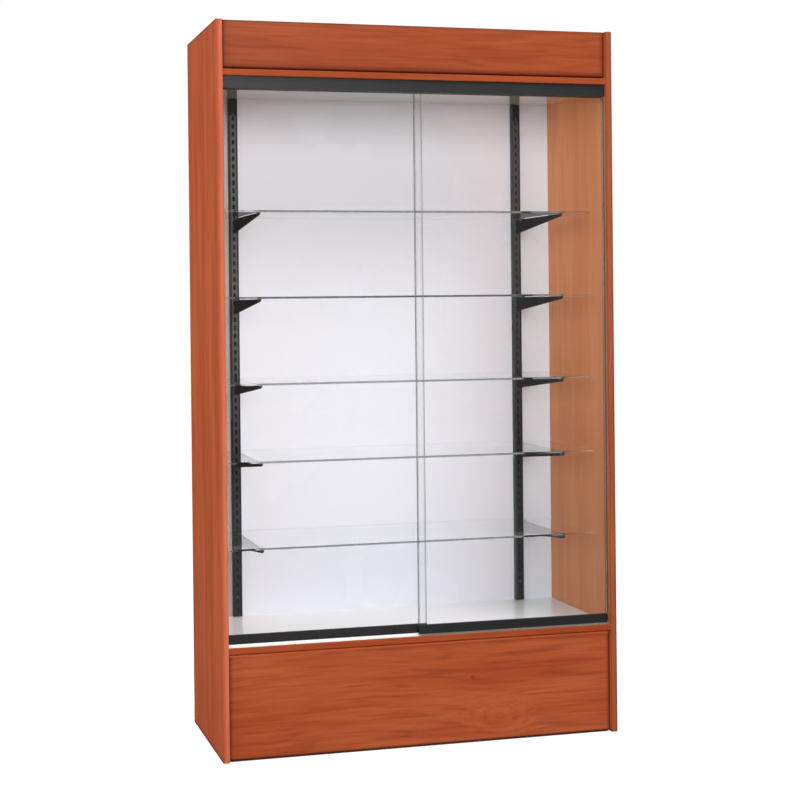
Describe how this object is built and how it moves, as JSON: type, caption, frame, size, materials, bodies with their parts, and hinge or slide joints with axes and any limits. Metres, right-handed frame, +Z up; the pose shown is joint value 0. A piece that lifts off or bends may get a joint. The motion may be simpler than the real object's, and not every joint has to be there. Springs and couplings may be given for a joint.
{
  "type": "wall display case",
  "caption": "Tall wood-laminate wall display case with glass shelves on slotted standards behind two bypass sliding glass doors, over a solid base and under a plain header",
  "frame": {"origin": "on the floor, at the centre of the footprint", "axes": "+Z up, +X to the viewer's right, doors face -Y and the back faces +Y"},
  "size_m": [1.2192, 0.508, 2.1336],
  "materials": {
    "wood_laminate": "satin cherry wood-grain laminate on board",
    "wood_edge": "satin edge band in the same wood colour",
    "white_laminate": "white melamine on board",
    "raw_board": "bare particle board",
    "black_steel": "satin black paint on sheet steel",
    "black_screw": "black oxide",
    "shelf_glass": "clear float glass with seamed edges",
    "door_glass": "clear float glass with polished edges",
    "black_aluminium": "black anodised extrusion",
    "bright_aluminium": "clear anodised extrusion",
    "grey_vinyl": "soft grey-green vinyl strip",
    "black_vinyl": "soft black vinyl",
    "white_nylon": "moulded nylon"
  },
  "bodies": {
    "case": {"left_side_panel": "wood_laminate", "right_side_panel": "wood_laminate", "left_edge_band": "wood_edge", "right_edge_band": "wood_edge", "deck_edge_band": "wood_edge", "ceiling_edge_band": "wood_edge", "kick_panel": "wood_laminate", "header_fascia": "wood_laminate", "base_deck": "white_laminate", "ceiling_board": "white_laminate", "top_panel": "raw_board", "deck_support": "raw_board", "kick_cleats": "raw_board", "header_cleats": "raw_board", "back_panel": "white_laminate", "left_standard": "black_steel", "right_standard": "black_steel", "standard_screws": "black_screw", "left_bracket_1": "black_steel", "left_bracket_2": "black_steel", "left_bracket_3": "black_steel", "left_bracket_4": "black_steel", "left_bracket_5": "black_steel", "right_bracket_1": "black_steel", "right_bracket_2": "black_steel", "right_bracket_3": "black_steel", "right_bracket_4": "black_steel", "right_bracket_5": "black_steel", "shelf_rests": "black_vinyl", "glass_shelf_1": "shelf_glass", "glass_shelf_2": "shelf_glass", "glass_shelf_3": "shelf_glass", "glass_shelf_4": "shelf_glass", "glass_shelf_5": "shelf_glass", "upper_track": "black_aluminium", "lower_track": "bright_aluminium", "left_jamb_bumper": "grey_vinyl", "right_jamb_bumper": "grey_vinyl"},
    "left_door": {"left_door_glass": "door_glass", "left_door_glazing": "black_vinyl", "left_door_shoe": "black_aluminium", "left_door_axles": "black_screw"},
    "right_door": {"right_door_glass": "door_glass", "right_door_glazing": "black_vinyl", "right_door_shoe": "black_aluminium", "right_door_axles": "black_screw"},
    "left_door_roller_a": {"left_door_left_roller": "white_nylon"},
    "left_door_roller_b": {"left_door_right_roller": "white_nylon"},
    "right_door_roller_a": {"right_door_left_roller": "white_nylon"},
    "right_door_roller_b": {"right_door_right_roller": "white_nylon"}
  },
  "joints": [
    {"name": "left_door_slide", "type": "slide", "parent": "case", "child": "left_door", "axis": [1, 0, 0], "range_m": [0, 0.571]},
    {"name": "right_door_slide", "type": "slide", "parent": "case", "child": "right_door", "axis": [-1, 0, 0], "range_m": [0, 0.571]},
    {"name": "left_door_roll_a", "type": "hinge", "parent": "left_door", "child": "left_door_roller_a", "pos_m": [-0.5271, -0.208, 0.3395], "axis": [0, 1, 0], "continuous": true},
    {"name": "left_door_roll_b", "type": "hinge", "parent": "left_door", "child": "left_door_roller_b", "pos_m": [-0.0441, -0.208, 0.3395], "axis": [0, 1, 0], "continuous": true},
    {"name": "right_door_roll_a", "type": "hinge", "parent": "right_door", "child": "right_door_roller_a", "pos_m": [0.0441, -0.23, 0.3395], "axis": [0, -1, 0], "continuous": true},
    {"name": "right_door_roll_b", "type": "hinge", "parent": "right_door", "child": "right_door_roller_b", "pos_m": [0.5271, -0.23, 0.3395], "axis": [0, -1, 0], "continuous": true}
  ],
  "couplings": [
    {"joint": "left_door_roll_a", "follows": "left_door_slide", "rad_per_m": 238.1},
    {"joint": "left_door_roll_b", "follows": "left_door_slide", "rad_per_m": 238.1},
    {"joint": "right_door_roll_a", "follows": "right_door_slide", "rad_per_m": 238.1},
    {"joint": "right_door_roll_b", "follows": "right_door_slide", "rad_per_m": 238.1}
  ]
}
